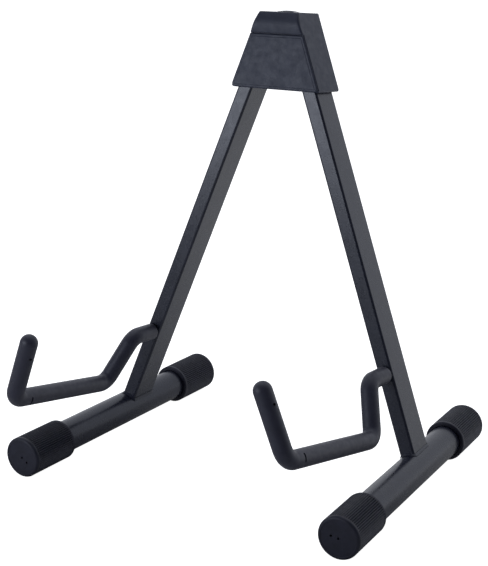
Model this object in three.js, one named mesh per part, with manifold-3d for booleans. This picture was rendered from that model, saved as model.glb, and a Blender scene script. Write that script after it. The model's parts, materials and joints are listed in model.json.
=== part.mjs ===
// Folding A-frame floor stand for a guitar.
// Two rectangular tube legs hinge inside a moulded head and lean back a little.
// Each leg stands on a round foot tube with a rubber cap at either end, and
// carries a bent, sleeved cradle arm that the guitar's body rests on.
//
// Frame: +Z up, +Y towards the back of the stand, +X to its right-hand leg as
// seen from the front. The origin is on the floor, under the middle of the
// stand's bounding box. Lengths are in millimetres.

import * as THREE from "three";
import { mergeVertices } from "three/addons/utils/BufferGeometryUtils.js";
import Module from "manifold-3d";

const wasm = await Module();
wasm.setup();

const { degToRad } = THREE.MathUtils;

// ---------------------------------------------------------------------------
// Driving dimensions
// ---------------------------------------------------------------------------

const GAP = 0.3;                     // clearance between pieces that touch
const FACETS = 32;                   // sides of the foot tubes and caps
const SMALL_FACETS = 16;             // sides of the rods, bolts and washers
const CORNER_STEPS = 3;              // segments of a quarter-round corner

// Stance of the open stand
const SPREAD = degToRad(20.7);       // each leg from the stand's middle plane
const LEAN = degToRad(5);            // the leg plane from vertical, backwards
const LEG_LENGTH = 436.5;            // pivot axis to foot tube axis
const PIVOT_HALF_SPACING = 22;       // middle plane to each pivot axis

// Leg, a rectangular tube
const LEG_WIDTH = 16;
const LEG_DEPTH = 35.5;
const LEG_WALL = 1.2;
const LEG_CORNER = 2;
const LEG_ABOVE_PIVOT = 9;

// Foot tube and its rubber caps
const FOOT_RADIUS = 16.7;
const FOOT_WALL = 1.2;
const FOOT_FORWARD = 191;            // leg axis to the front cap's end
const FOOT_BACKWARD = 135.5;         // leg axis to the rear cap's end
const CAP_RADIUS = 21.3;
const CAP_LENGTH = 61.5;
const CAP_END_WALL = 5;
const CAP_RIM_ROUND = 3;
const CAP_MOUTH_ROUND = 1.5;
const VENT_RADIUS = 1.2;
const VENT_SPACING = 7.5;
const FRONT_VENT_TURN = { left: degToRad(-33), right: degToRad(170) };

// Cradle arm, a round rod in a soft sleeve. The route is in the leg's own
// plane: how far behind the leg axis, then how far below the pivot axis.
const ROD_RADIUS = 4;
const SLEEVE_RADIUS = 8.9;
const ARM_BEND_RADIUS = 14.7;
const ARM_BEND_STEPS = 4;
const ARM_TOP = [-LEG_DEPTH / 2, -337];
const ARM_DROP = [-55.3, -337];
const ARM_HEEL = [-79, -389.5];
const ARM_TOE = [-240.3, -368.8];
const ARM_TIP = [-246.9, -303.3];

// Weld beads
const FOOT_WELD = 2.4;
const ARM_WELD = 2;

// Head, a tapering block around the two pivots. Heights are from the pivot
// axes and depths from the plane of the legs.
const HEAD_TOP = 37.1;
const HEAD_BOTTOM = -40.6;
const HEAD_TOP_HALF_WIDTH = 22.5;
const HEAD_BOTTOM_HALF_WIDTH = 51.7;
const HEAD_BACK = 23.7;
const HEAD_SEAT = -21.7;             // face behind the front cover
const LEDGE = 15.3;                  // top of the front cover
const SHOULDER_FOOT = -24.4;         // shoulder just above the ledge
const SHOULDER_CROWN = -25.7;        // most forward point of the shoulder
const SHOULDER_TOP = -21.5;          // shoulder at the head's top
const SHOULDER_STEPS = 8;
const POCKET_HALF_DEPTH = 19.15;
const CORE_HALF_WIDTH = 8;
const CORE_TOP = 27;

// Front cover
const COVER_FRONT = -24.1;
const COVER_PLATE = 1.3;
const COVER_RIM = 3;
const PEG_RADIUS = 2.5;
const PEG_LENGTH = 5;
const PEG_HEIGHTS = [8, -28];

// Plug in the head's top
const PLUG_RADIUS = 11.5;
const PLUG_DOME = 1.3;
const PLUG_STEM_RADIUS = 5;
const PLUG_STEM_LENGTH = 8;

// Pivot hardware, M6
const BOLT_RADIUS = 3;
const BOLT_HEAD_RADIUS = 5.25;
const BOLT_HEAD_HEIGHT = 1.8;
const BOLT_END = 26.6;
const COUNTERBORE_RADIUS = 6;
const COUNTERBORE_FLOOR = -20.4;
const KEY_RADIUS = 2;
const KEY_DEPTH = 1.1;
const NUT_HALF_FLATS = 5;
const NUT_START = 20.5;
const NUT_END = 26;
const NUT_POCKET_FLOOR = 20.2;
const WASHER_RADIUS = 7.2;
const WASHER_INNER = 18.15;
const WASHER_OUTER = 18.85;
const BUSHING_RADIUS = 4.5;
const BUSHING_HALF_LENGTH = 17.85;

// ---------------------------------------------------------------------------
// Dimensions that follow
// ---------------------------------------------------------------------------

// In the leg's own plane the foot tube rises towards the back by this angle,
// which brings it level once the leg is spread and leaned.
const FOOT_PITCH = Math.atan(Math.tan(LEAN) / Math.cos(SPREAD));
const TOE_OUT = Math.asin(Math.sin(FOOT_PITCH) * Math.sin(SPREAD));
const PIVOT_HEIGHT = CAP_RADIUS + LEG_LENGTH * Math.cos(SPREAD) * Math.cos(LEAN);

// The foot tube's axis crosses the leg's axis here, on the right-hand side.
const FOOT_CENTRE = new THREE.Vector3(
  PIVOT_HALF_SPACING + LEG_LENGTH * Math.sin(SPREAD),
  -LEG_LENGTH * Math.cos(SPREAD) * Math.sin(LEAN),
  CAP_RADIUS,
);

const HEAD_TAPER = (HEAD_BOTTOM_HALF_WIDTH - HEAD_TOP_HALF_WIDTH) / (HEAD_TOP - HEAD_BOTTOM);
const BOLT_HOLE_RADIUS = BOLT_RADIUS + GAP;
const SIDES = { left: -1, right: 1 };

// ---------------------------------------------------------------------------
// Materials
// ---------------------------------------------------------------------------

function finish(color, roughness, metalness) {
  return () => new THREE.MeshStandardMaterial({ color, roughness, metalness });
}

const blackPlastic = finish(0x2a2d35, 0.6, 0);
const satinPaint = finish(0x3a3d45, 0.4, 0.3);
const blackRubber = finish(0x14151a, 0.8, 0);
const softSleeve = finish(0x24262e, 0.7, 0);
const blackSteel = finish(0x2c2c2f, 0.4, 0.8);
const zincSteel = finish(0x9a9da2, 0.35, 1);
const whiteNylon = finish(0xd8d6cc, 0.5, 0);

// ---------------------------------------------------------------------------
// Solids: closed shapes that can be joined and cut
// ---------------------------------------------------------------------------

function toSolid(geometry) {
  const bare = geometry.clone();
  bare.deleteAttribute("normal");
  bare.deleteAttribute("uv");
  const merged = mergeVertices(bare, 1e-4);
  const vertProperties = new Float32Array(merged.attributes.position.array);
  const triVerts = new Uint32Array(merged.index.array);
  return new wasm.Manifold(new wasm.Mesh({ numProp: 3, vertProperties, triVerts }));
}

function toGeometry(solid) {
  const mesh = solid.getMesh();
  const geometry = new THREE.BufferGeometry();
  geometry.setAttribute("position", new THREE.BufferAttribute(mesh.vertProperties, 3));
  geometry.setIndex(new THREE.BufferAttribute(mesh.triVerts, 1));
  geometry.computeVertexNormals();
  return geometry;
}

function cut(base, ...tools) {
  return tools.reduce((solid, tool) => solid.subtract(tool), base);
}

function join(base, ...others) {
  return others.reduce((solid, other) => solid.add(other), base);
}

// A prism of a flat outline drawn in X and Z, between two depths in Y.
function prismAlongY(shape, start, end, curveSegments = CORNER_STEPS) {
  const depth = end - start;
  const geometry = new THREE.ExtrudeGeometry(shape, { depth, curveSegments, bevelEnabled: false });
  geometry.rotateX(Math.PI / 2);
  geometry.translate(0, end, 0);
  return toSolid(geometry);
}

// A prism of a flat outline drawn in X and Y, between two heights in Z.
function prismAlongZ(shape, start, end, curveSegments = CORNER_STEPS) {
  const depth = end - start;
  const geometry = new THREE.ExtrudeGeometry(shape, { depth, curveSegments, bevelEnabled: false });
  geometry.translate(0, 0, start);
  return toSolid(geometry);
}

// A round bar along Y, with a flat facing straight down.
function barAlongY(radius, start, end, x = 0, z = 0, facets = SMALL_FACETS) {
  const geometry = new THREE.CylinderGeometry(radius, radius, end - start, facets);
  geometry.rotateY(Math.PI / facets);
  geometry.translate(x, (start + end) / 2, z);
  return toSolid(geometry);
}

// A box between two corners.
function block(low, high) {
  const geometry = new THREE.BoxGeometry(high[0] - low[0], high[1] - low[1], high[2] - low[2]);
  geometry.translate((low[0] + high[0]) / 2, (low[1] + high[1]) / 2, (low[2] + high[2]) / 2);
  return toSolid(geometry);
}

function outline(points) {
  return new THREE.Shape(points.map(([x, y]) => new THREE.Vector2(x, y)));
}

// A rectangle with rounded corners, centred on the origin.
function roundedRectangle(width, depth, radius) {
  const x = width / 2 - radius;
  const y = depth / 2 - radius;
  const shape = new THREE.Shape();
  shape.absarc(x, y, radius, 0, Math.PI / 2);
  shape.absarc(-x, y, radius, Math.PI / 2, Math.PI);
  shape.absarc(-x, -y, radius, Math.PI, 1.5 * Math.PI);
  shape.absarc(x, -y, radius, 1.5 * Math.PI, 2 * Math.PI);
  return shape;
}

// Points of an arc, drawn as a list for a profile.
function arcPoints(centre, radius, from, to, steps) {
  const points = [];
  for (let i = 0; i <= steps; i += 1) {
    const angle = from + ((to - from) * i) / steps;
    points.push([centre[0] + radius * Math.cos(angle), centre[1] + radius * Math.sin(angle)]);
  }
  return points;
}

// ---------------------------------------------------------------------------
// The cradle arm's route
// ---------------------------------------------------------------------------

// A curve that visits its stations in equal steps, so that a sweep along it
// has a section at each station and none between.
class StationCurve extends THREE.Curve {
  constructor(stations) {
    super();
    this.stations = stations;
  }

  getUtoTmapping(u) {
    return u;
  }

  station(t) {
    return this.stations[Math.round(t * (this.stations.length - 1))];
  }

  getPoint(t, target = new THREE.Vector3()) {
    return target.copy(this.station(t).point);
  }

  getTangent(t, target = new THREE.Vector3()) {
    return target.copy(this.station(t).tangent);
  }
}

// Stations along straight runs joined by round bends.
function bentRoute(corners, bendRadius, bendSteps) {
  const first = corners[1].clone().sub(corners[0]).normalize();
  const stations = [{ point: corners[0], tangent: first }];
  for (let i = 1; i < corners.length - 1; i += 1) {
    const incoming = corners[i].clone().sub(corners[i - 1]).normalize();
    const outgoing = corners[i + 1].clone().sub(corners[i]).normalize();
    const turn = incoming.angleTo(outgoing);
    const start = corners[i].clone().addScaledVector(incoming, -bendRadius * Math.tan(turn / 2));
    const inward = outgoing.clone().addScaledVector(incoming, -Math.cos(turn)).normalize();
    for (let j = 0; j <= bendSteps; j += 1) {
      const angle = (turn * j) / bendSteps;
      const point = start.clone();
      point.addScaledVector(incoming, bendRadius * Math.sin(angle));
      point.addScaledVector(inward, bendRadius * (1 - Math.cos(angle)));
      const tangent = incoming.clone().multiplyScalar(Math.cos(angle));
      tangent.addScaledVector(inward, Math.sin(angle));
      stations.push({ point, tangent });
    }
  }
  const last = corners[corners.length - 1];
  stations.push({ point: last, tangent: stations[stations.length - 1].tangent.clone() });
  return stations;
}

function armCorners() {
  const route = [ARM_TOP, ARM_DROP, ARM_HEEL, ARM_TOE, ARM_TIP];
  return route.map(([y, z]) => new THREE.Vector3(0, y, z));
}

// A round bar along the arm's route, from a distance past its start to a
// distance short of its tip.
function sweepArm(radius, startInset, tipInset) {
  const stations = bentRoute(armCorners(), ARM_BEND_RADIUS, ARM_BEND_STEPS);
  const start = stations[0];
  const tip = stations[stations.length - 1];
  start.point.addScaledVector(start.tangent, startInset);
  tip.point.addScaledVector(tip.tangent, -tipInset);
  const section = new THREE.Shape();
  section.absarc(0, 0, radius, 0, 2 * Math.PI);
  const geometry = new THREE.ExtrudeGeometry(section, {
    extrudePath: new StationCurve(stations),
    steps: stations.length - 1,
    curveSegments: SMALL_FACETS / 2,
  });
  return toSolid(geometry);
}

// The rounded end of the sleeve, a hemisphere on the arm's tip.
function sleeveDome() {
  const tip = new THREE.Vector3(0, ...ARM_TIP);
  const toe = new THREE.Vector3(0, ...ARM_TOE);
  const profile = arcPoints([0, 0], SLEEVE_RADIUS, 0, Math.PI / 2, 5);
  profile.unshift([0, -2], [SLEEVE_RADIUS - GAP, -2]);
  const geometry = new THREE.LatheGeometry(
    profile.map(([x, y]) => new THREE.Vector2(Math.max(x, 0), y)),
    SMALL_FACETS,
  );
  const along = tip.clone().sub(toe).normalize();
  geometry.applyQuaternion(new THREE.Quaternion().setFromUnitVectors(new THREE.Vector3(0, 1, 0), along));
  geometry.translate(tip.x, tip.y, tip.z);
  return toSolid(geometry);
}

// ---------------------------------------------------------------------------
// Sub-parts of one leg, in the leg's frame: the pivot axis is Y and the leg
// runs down -Z from it
// ---------------------------------------------------------------------------

// A bar along the foot tube's axis, seen in the leg's frame.
function footBar(radius) {
  const geometry = new THREE.CylinderGeometry(radius, radius, 4 * LEG_DEPTH, FACETS);
  geometry.rotateX(FOOT_PITCH);
  geometry.translate(0, 0, -LEG_LENGTH);
  return toSolid(geometry);
}

function legTube() {
  const section = roundedRectangle(LEG_WIDTH, LEG_DEPTH, LEG_CORNER);
  const inner = roundedRectangle(
    LEG_WIDTH - 2 * LEG_WALL,
    LEG_DEPTH - 2 * LEG_WALL,
    LEG_CORNER - LEG_WALL,
  );
  section.holes.push(inner);
  const tube = prismAlongZ(section, -LEG_LENGTH, LEG_ABOVE_PIVOT);
  const pivotHole = barAlongY(BUSHING_RADIUS + GAP, -LEG_DEPTH, LEG_DEPTH);
  return cut(tube, pivotHole, footBar(FOOT_RADIUS + GAP));
}

// The weld bead that runs round the leg where it meets the foot tube.
function footWeld() {
  const outer = roundedRectangle(
    LEG_WIDTH + 2 * (GAP + FOOT_WELD),
    LEG_DEPTH + 2 * (GAP + FOOT_WELD),
    LEG_CORNER + FOOT_WELD,
  );
  outer.holes.push(roundedRectangle(LEG_WIDTH + 2 * GAP, LEG_DEPTH + 2 * GAP, LEG_CORNER + GAP));
  const collar = prismAlongZ(outer, -LEG_LENGTH, -LEG_LENGTH + 2 * FOOT_RADIUS);
  const shell = footBar(FOOT_RADIUS + GAP + FOOT_WELD);
  return cut(collar.intersect(shell), footBar(FOOT_RADIUS + GAP));
}

function armRod() {
  return sweepArm(ROD_RADIUS, GAP, GAP);
}

// The soft sleeve starts behind the weld bead and closes over the arm's tip.
function armSleeve() {
  const start = GAP + ARM_WELD + GAP;
  const body = join(sweepArm(SLEEVE_RADIUS, start, 0), sleeveDome());
  return cut(body, sweepArm(ROD_RADIUS + GAP, 0, 0));
}

// The cone-shaped weld bead round the rod, on the leg's front face.
function armWeld() {
  const inner = ROD_RADIUS + GAP;
  const profile = [[inner, 0], [inner + ARM_WELD, 0], [inner + 0.6, ARM_WELD], [inner, ARM_WELD], [inner, 0]];
  const geometry = new THREE.LatheGeometry(
    profile.map(([x, y]) => new THREE.Vector2(x, y)),
    SMALL_FACETS,
  );
  geometry.rotateX(Math.PI);
  geometry.translate(0, ARM_TOP[0] - GAP, ARM_TOP[1]);
  return toSolid(geometry);
}

// ---------------------------------------------------------------------------
// Sub-parts of one foot, in a level frame with Y along the foot tube
// ---------------------------------------------------------------------------

function footTube() {
  const start = -FOOT_FORWARD + CAP_END_WALL + GAP;
  const end = FOOT_BACKWARD - CAP_END_WALL - GAP;
  const outside = barAlongY(FOOT_RADIUS, start, end, 0, 0, FACETS);
  return cut(outside, barAlongY(FOOT_RADIUS - FOOT_WALL, start - 1, end + 1, 0, 0, FACETS));
}

// A cap with its closed end at the origin and its mouth towards +Y. Its
// flats touch the floor, so its corners stand a little outside its radius.
// One vent hole is in the middle of its end, and one beside it.
function footCap(ventTurn = 0) {
  const scale = 1 / Math.cos(Math.PI / FACETS);
  const outer = CAP_RADIUS;
  const bore = FOOT_RADIUS + GAP;
  const profile = [
    [0, 0],
    ...arcPoints([outer - CAP_RIM_ROUND, CAP_RIM_ROUND], CAP_RIM_ROUND, -Math.PI / 2, 0, 2),
    ...arcPoints([outer - CAP_MOUTH_ROUND, CAP_LENGTH - CAP_MOUTH_ROUND], CAP_MOUTH_ROUND, 0, Math.PI / 2, 2),
    [bore, CAP_LENGTH],
    [bore, CAP_END_WALL],
    [0, CAP_END_WALL],
  ];
  const geometry = new THREE.LatheGeometry(
    profile.map(([x, y]) => new THREE.Vector2(x * scale, y)),
    FACETS,
  );
  geometry.rotateY(Math.PI / FACETS);
  const vents = [0, VENT_SPACING].map((offset) => (
    barAlongY(
      VENT_RADIUS,
      -1,
      CAP_END_WALL + 1,
      offset * Math.cos(ventTurn),
      offset * Math.sin(ventTurn),
      8,
    )
  ));
  return cut(toSolid(geometry), ...vents);
}

// ---------------------------------------------------------------------------
// Sub-parts of the head, in the head's frame: the origin is midway between
// the pivots, Y is along their axes and Z is up in the plane of the legs
// ---------------------------------------------------------------------------

function halfWidthAt(height) {
  return HEAD_TOP_HALF_WIDTH + (HEAD_TOP - height) * HEAD_TAPER;
}

// The head's front outline between two heights, inset on each side.
function taperedOutline(low, high, inset = 0) {
  return outline([
    [-halfWidthAt(low) + inset, low],
    [halfWidthAt(low) - inset, low],
    [halfWidthAt(high) - inset, high],
    [-halfWidthAt(high) + inset, high],
  ]);
}

// The room one leg needs inside the head, from spread to folded: its outer
// wall stops the spread leg and its upright inner wall stops the folded one.
function legPocket(side) {
  const reach = LEG_WIDTH / 2 + GAP;
  const top = LEG_ABOVE_PIVOT + 2 * GAP;
  const cornerRadius = Math.hypot(reach, top);
  const cornerAngle = Math.atan2(top, reach);
  const bottom = HEAD_BOTTOM - 1;
  const outerAt = (height) => (reach - height * Math.sin(SPREAD)) / Math.cos(SPREAD);
  const kink = (reach * (1 - Math.cos(SPREAD))) / Math.sin(SPREAD);
  const points = [
    [-reach, bottom],
    [outerAt(bottom), bottom],
    [reach, kink],
    ...arcPoints([0, 0], cornerRadius, cornerAngle, Math.PI - cornerAngle + SPREAD, 6),
    [-reach, -kink],
  ];
  const shape = outline(points.map(([x, z]) => [side * (x + PIVOT_HALF_SPACING), z]));
  return prismAlongY(shape, -POCKET_HALF_DEPTH, POCKET_HALF_DEPTH);
}

// The head seen from its side: a flat seat for the cover, then a shoulder
// that swells forward above the ledge and falls back to the top.
function headSideOutline() {
  const low = LEDGE + GAP;
  const shoulder = [];
  for (let i = 0; i <= SHOULDER_STEPS; i += 1) {
    const t = i / SHOULDER_STEPS;
    const straight = SHOULDER_FOOT + (SHOULDER_TOP - SHOULDER_FOOT) * t;
    const middle = (SHOULDER_FOOT + SHOULDER_TOP) / 2;
    const swell = (SHOULDER_CROWN - middle) * Math.sin(Math.PI * t);
    shoulder.push([straight + swell, low + (HEAD_TOP - low) * t]);
  }
  return outline([
    [HEAD_SEAT, HEAD_BOTTOM],
    [HEAD_SEAT, low],
    ...shoulder,
    [HEAD_BACK, HEAD_TOP],
    [HEAD_BACK, HEAD_BOTTOM],
  ]);
}

function headBlock() {
  const width = 2 * HEAD_BOTTOM_HALF_WIDTH + 2;
  const geometry = new THREE.ExtrudeGeometry(headSideOutline(), { depth: width, bevelEnabled: false });
  geometry.rotateX(Math.PI / 2);
  geometry.rotateZ(Math.PI / 2);
  geometry.translate(-width / 2, 0, 0);
  const taper = prismAlongY(taperedOutline(HEAD_BOTTOM, HEAD_TOP), SHOULDER_CROWN - 5, HEAD_BACK + 5);
  return toSolid(geometry).intersect(taper);
}

function hexagonAt(x, halfFlats) {
  const radius = halfFlats / Math.cos(Math.PI / 6);
  return outline(arcPoints([x, 0], radius, 0, (5 * Math.PI) / 3, 5));
}

function headHousing() {
  const core = block(
    [-CORE_HALF_WIDTH, -POCKET_HALF_DEPTH, HEAD_BOTTOM - 1],
    [CORE_HALF_WIDTH, POCKET_HALF_DEPTH, CORE_TOP],
  );
  const tools = [core];
  for (const side of Object.values(SIDES)) {
    const x = side * PIVOT_HALF_SPACING;
    tools.push(legPocket(side));
    tools.push(barAlongY(BOLT_HOLE_RADIUS, HEAD_SEAT - 1, HEAD_BACK + 1, x));
    tools.push(barAlongY(COUNTERBORE_RADIUS, HEAD_SEAT - 1, COUNTERBORE_FLOOR, x));
    tools.push(prismAlongY(hexagonAt(x, NUT_HALF_FLATS + GAP), NUT_POCKET_FLOOR, HEAD_BACK + 1));
  }
  for (const height of PEG_HEIGHTS) {
    tools.push(barAlongY(PEG_RADIUS + GAP, HEAD_SEAT - 1, -POCKET_HALF_DEPTH + 1, 0, height));
  }
  const stemRoom = PLUG_STEM_RADIUS + GAP;
  const plugHole = new THREE.CylinderGeometry(stemRoom, stemRoom, 20, SMALL_FACETS);
  plugHole.rotateX(Math.PI / 2);
  plugHole.translate(0, 0, HEAD_TOP);
  tools.push(toSolid(plugHole));
  return cut(headBlock(), ...tools);
}

// The cover plate, hollowed behind to clear the bolt heads, with two pegs
// that press into the housing.
function frontCover() {
  const back = HEAD_SEAT - GAP;
  const plate = prismAlongY(taperedOutline(HEAD_BOTTOM, LEDGE), COVER_FRONT, back);
  const hollow = prismAlongY(
    taperedOutline(HEAD_BOTTOM + COVER_RIM, LEDGE - COVER_RIM, COVER_RIM),
    COVER_FRONT + COVER_PLATE,
    back + 1,
  );
  const pegs = PEG_HEIGHTS.map((height) => (
    barAlongY(PEG_RADIUS, COVER_FRONT + COVER_PLATE / 2, back + PEG_LENGTH, 0, height)
  ));
  return join(cut(plate, hollow), ...pegs);
}

// A domed plug: a low cap with a stem that presses into the head's top.
function topPlug() {
  const seat = HEAD_TOP + GAP;
  const domeRadius = (PLUG_RADIUS ** 2 + PLUG_DOME ** 2) / (2 * PLUG_DOME);
  const halfAngle = Math.asin(PLUG_RADIUS / domeRadius);
  const centre = [0, seat + PLUG_DOME - domeRadius];
  const dome = arcPoints(centre, domeRadius, Math.PI / 2 - halfAngle, Math.PI / 2, 4);
  const profile = [
    [0, seat - PLUG_STEM_LENGTH],
    [PLUG_STEM_RADIUS, seat - PLUG_STEM_LENGTH],
    [PLUG_STEM_RADIUS, seat],
    ...dome.slice(0, -1),
    [0, seat + PLUG_DOME],
  ];
  const geometry = new THREE.LatheGeometry(
    profile.map(([x, y]) => new THREE.Vector2(x, y)),
    SMALL_FACETS,
  );
  geometry.rotateX(Math.PI / 2);
  return toSolid(geometry);
}

// The pivot bolt, with a hexagon socket in its low round head.
function pivotBolt(side) {
  const x = side * PIVOT_HALF_SPACING;
  const under = COUNTERBORE_FLOOR - GAP;
  const head = barAlongY(BOLT_HEAD_RADIUS, under - BOLT_HEAD_HEIGHT, under, x);
  const shank = barAlongY(BOLT_RADIUS, under - 1, BOLT_END, x);
  const front = under - BOLT_HEAD_HEIGHT;
  const socket = prismAlongY(hexagonAt(x, KEY_RADIUS), front - 1, front + KEY_DEPTH);
  return cut(join(head, shank), socket);
}

function lockNut(side) {
  const x = side * PIVOT_HALF_SPACING;
  const nut = prismAlongY(hexagonAt(x, NUT_HALF_FLATS), NUT_START, NUT_END);
  return cut(nut, barAlongY(BOLT_HOLE_RADIUS, NUT_START - 1, NUT_END + 1, x));
}

// A flat ring on a pivot, in front of the leg or behind it.
function pivotWasher(side, facing) {
  const x = side * PIVOT_HALF_SPACING;
  const [near, far] = [facing * WASHER_INNER, facing * WASHER_OUTER].sort((a, b) => a - b);
  const disc = barAlongY(WASHER_RADIUS, near, far, x);
  return cut(disc, barAlongY(BOLT_HOLE_RADIUS, near - 1, far + 1, x));
}

function pivotBushing(side) {
  const x = side * PIVOT_HALF_SPACING;
  const tube = barAlongY(BUSHING_RADIUS, -BUSHING_HALF_LENGTH, BUSHING_HALF_LENGTH, x);
  return cut(tube, barAlongY(BOLT_HOLE_RADIUS, -LEG_DEPTH, LEG_DEPTH, x));
}

// ---------------------------------------------------------------------------
// Assembly
// ---------------------------------------------------------------------------

function piece(name, solid, material) {
  const mesh = new THREE.Mesh(toGeometry(solid), material());
  mesh.name = name;
  return mesh;
}

function buildLeg(name, side) {
  const leg = new THREE.Group();
  leg.position.x = side * PIVOT_HALF_SPACING;
  leg.rotation.y = -side * SPREAD;
  leg.add(piece(`${name}_leg_tube`, legTube(), satinPaint));
  leg.add(piece(`${name}_foot_weld`, footWeld(), satinPaint));
  leg.add(piece(`${name}_arm_rod`, armRod(), satinPaint));
  leg.add(piece(`${name}_arm_sleeve`, armSleeve(), softSleeve));
  leg.add(piece(`${name}_arm_weld`, armWeld(), satinPaint));
  return leg;
}

function buildFoot(name, side) {
  const foot = new THREE.Group();
  foot.position.set(side * FOOT_CENTRE.x, FOOT_CENTRE.y, FOOT_CENTRE.z);
  foot.rotation.z = side * TOE_OUT;
  foot.add(piece(`${name}_foot_tube`, footTube(), satinPaint));
  const frontCap = piece(`${name}_front_foot_cap`, footCap(FRONT_VENT_TURN[name]), blackRubber);
  frontCap.position.y = -FOOT_FORWARD;
  foot.add(frontCap);
  const rearCap = piece(`${name}_rear_foot_cap`, footCap(), blackRubber);
  rearCap.position.y = FOOT_BACKWARD;
  rearCap.rotation.z = Math.PI;
  foot.add(rearCap);
  return foot;
}

function buildPivot(name, side) {
  const pivot = new THREE.Group();
  pivot.add(piece(`${name}_pivot_bolt`, pivotBolt(side), blackSteel));
  pivot.add(piece(`${name}_pivot_lock_nut`, lockNut(side), zincSteel));
  pivot.add(piece(`${name}_pivot_front_washer`, pivotWasher(side, -1), whiteNylon));
  pivot.add(piece(`${name}_pivot_rear_washer`, pivotWasher(side, 1), whiteNylon));
  pivot.add(piece(`${name}_pivot_bushing`, pivotBushing(side), zincSteel));
  return pivot;
}

function buildStand() {
  const stand = new THREE.Group();
  const leaning = new THREE.Group();
  leaning.position.z = PIVOT_HEIGHT;
  leaning.rotation.x = -LEAN;
  stand.add(leaning);
  leaning.add(piece("head_housing", headHousing(), blackPlastic));
  leaning.add(piece("head_front_cover", frontCover(), blackPlastic));
  leaning.add(piece("head_top_plug", topPlug(), blackPlastic));
  for (const [name, side] of Object.entries(SIDES)) {
    leaning.add(buildPivot(name, side));
    leaning.add(buildLeg(name, side));
    stand.add(buildFoot(name, side));
  }
  return stand;
}

// Sets the stand so that the middle of its depth is over the origin.
function centreDepth(stand) {
  const extent = new THREE.Box3().setFromObject(stand, true);
  stand.position.y = -(extent.min.y + extent.max.y) / 2;
}

const group = buildStand();
centreDepth(group);

export default group;
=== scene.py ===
"""Looks of a folding A-frame guitar stand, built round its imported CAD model.

Every piece is drawn in millimetres in a local frame of its own (the head, one
leg or one foot) and then placed in the model's frame, which is in metres.
"""

import json
import math

import bmesh
import bpy
from mathutils import Matrix, Vector


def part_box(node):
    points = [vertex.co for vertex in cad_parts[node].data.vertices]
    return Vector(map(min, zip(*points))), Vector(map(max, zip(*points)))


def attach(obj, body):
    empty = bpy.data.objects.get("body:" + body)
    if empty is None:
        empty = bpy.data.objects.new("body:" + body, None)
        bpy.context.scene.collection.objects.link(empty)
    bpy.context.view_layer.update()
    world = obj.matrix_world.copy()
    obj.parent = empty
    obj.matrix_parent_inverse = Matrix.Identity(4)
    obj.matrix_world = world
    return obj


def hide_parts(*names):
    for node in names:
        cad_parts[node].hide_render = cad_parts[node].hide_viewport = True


# ---------------------------------------------------------------------------
# Sizes, in millimetres
# ---------------------------------------------------------------------------

GAP = 0.3

LEG_WIDTH = 16
LEG_DEPTH = 35.5
LEG_WALL = 1.2
LEG_CORNER = 2.4
LEG_ABOVE_PIVOT = 9

FOOT_RADIUS = 16.7
FOOT_WALL = 1.2
FOOT_FORWARD = 191
FOOT_BACKWARD = 135.5

CAP_RADIUS = 21.27
CAP_LENGTH = 61.5
CAP_END_WALL = 5
CAP_RIM_ROUND = 2.8
CAP_MOUTH_ROUND = 1.5
CAP_DISH = 0.45
CAP_RIBS = 60
CAP_RIB_DEPTH = 1.1
VENT_RADIUS = 1.2
VENT_SPACING = 7.5
FRONT_VENT_TURN = {"left": -33, "right": 170}

ROD_RADIUS = 4
SLEEVE_RADIUS = 8.9
SLEEVE_MOUTH_ROUND = 1.2
ARM_BEND_RADIUS = 14.7
ARM_CORNERS = [(-LEG_DEPTH / 2, -337), (-55.3, -337), (-79, -389.5), (-240.3, -368.8), (-246.9, -303.3)]
PINHOLE_RADIUS = 1.5
PINHOLE_BEFORE_END = 13.5
PINHOLE_TURN = 15
SLIT_LENGTH = 8.4
SLIT_WIDTH = 2.2
SLIT_DEPTH = 2.5
SLIT_BEFORE_BEND = 7.5

FOOT_WELD_WIDTH = 1.5
FOOT_WELD_HEIGHT = 1.6
ARM_WELD = 2
BEAD_PITCH = 2.4

HEAD_TOP = 37.1
HEAD_BOTTOM = -40.6
HEAD_TOP_HALF_WIDTH = 22.5
HEAD_BOTTOM_HALF_WIDTH = 51.7
HEAD_BACK = 23.7
HEAD_SEAT = -21.7
HEAD_EDGE = 0.9
HEAD_FOOT_EDGE = 3
HEAD_FRONT_CORNER = 2.5
LEDGE = 15.3
SHOULDER_FOOT = -24.4
SHOULDER_CROWN = -25.7
SHOULDER_TOP = -21.5
POCKET_HALF_DEPTH = 19.15
CORE_HALF_WIDTH = 8
CORE_TOP = 27

COVER_FRONT = -24.1
COVER_PLATE = 1.3
COVER_RIM = 4.2
COVER_EDGE_WIDTH = 1.8
COVER_EDGE_DEPTH = 1.2
COVER_BORDER = 3
COVER_PANEL_RISE = 0.3
PEG_RADIUS = 2.5
PEG_LENGTH = 5
PEG_HEIGHTS = (8, -28)

PLUG_RADIUS = 11.5
PLUG_DOME = 1.3
PLUG_STEM_RADIUS = 5
PLUG_STEM_LENGTH = 8

BOLT_RADIUS = 3
BOLT_HEAD_RADIUS = 5.25
BOLT_HEAD_HEIGHT = 1.8
BOLT_END = 26.6
THREAD_PITCH = 1
THREAD_LENGTH = 8
THREAD_DEPTH = 0.45
BUSHING_RADIUS = 4.5
COUNTERBORE_RADIUS = 6
COUNTERBORE_FLOOR = -20.4
NUT_HALF_FLATS = 5
NUT_START = 20.5
NUT_END = 26
NUT_POCKET_FLOOR = 20.2

SIDES = {"left": -1, "right": 1}

# Camera and floor, in metres and degrees
CAMERA_AZIMUTH = 30.76
CAMERA_ELEVATION = 15.71
CAMERA_DISTANCE = 1.5226
CAMERA_LENS = 88.98
CAMERA_AIM = (-0.0508, 0, -0.2554)
WHITE_FLOOR_HEIGHT = -0.0004
MIRRORED_FLOOR_HEIGHT = -0.001

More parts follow.
